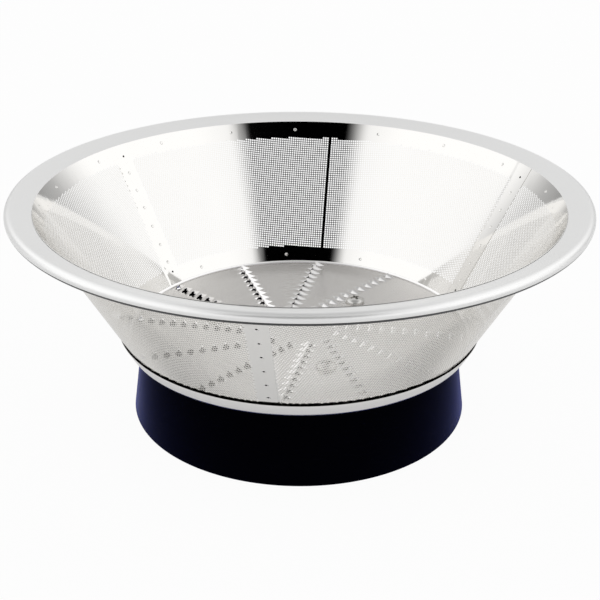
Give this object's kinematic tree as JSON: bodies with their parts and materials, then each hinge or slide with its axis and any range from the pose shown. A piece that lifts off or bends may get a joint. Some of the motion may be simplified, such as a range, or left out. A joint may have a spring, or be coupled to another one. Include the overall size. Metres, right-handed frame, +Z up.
{
  "type": "juice extractor filter basket",
  "caption": "Spinning filter basket of a juice extractor: a cone of fine mesh panels under a beaded rim, a toothed grating disc for its floor, and a round drive base.",
  "frame": {"origin": "on the spin axis, at the middle of the face that the base stands on", "axes": "+Z up along the spin axis, out of the basket's mouth; +X to the right and +Y away as the picture sees it"},
  "size_m": [0.18, 0.18, 0.0731],
  "materials": {
    "rim_steel": "spun satin stainless steel",
    "filter_steel": "polished stainless sheet with an etched mesh",
    "disc_steel": "satin pressed stainless steel",
    "screw_steel": "bright stainless screws",
    "base_plastic": "glossy black moulding",
    "bush_metal": "machined steel"
  },
  "bodies": {
    "root": {"rim_ring": "rim_steel", "filter_panel_1": "filter_steel", "filter_panel_2": "filter_steel", "filter_panel_3": "filter_steel", "grating_disc": "disc_steel", "disc_screws": "screw_steel", "drive_base": "base_plastic", "drive_bush": "bush_metal"}
  },
  "joints": []
}
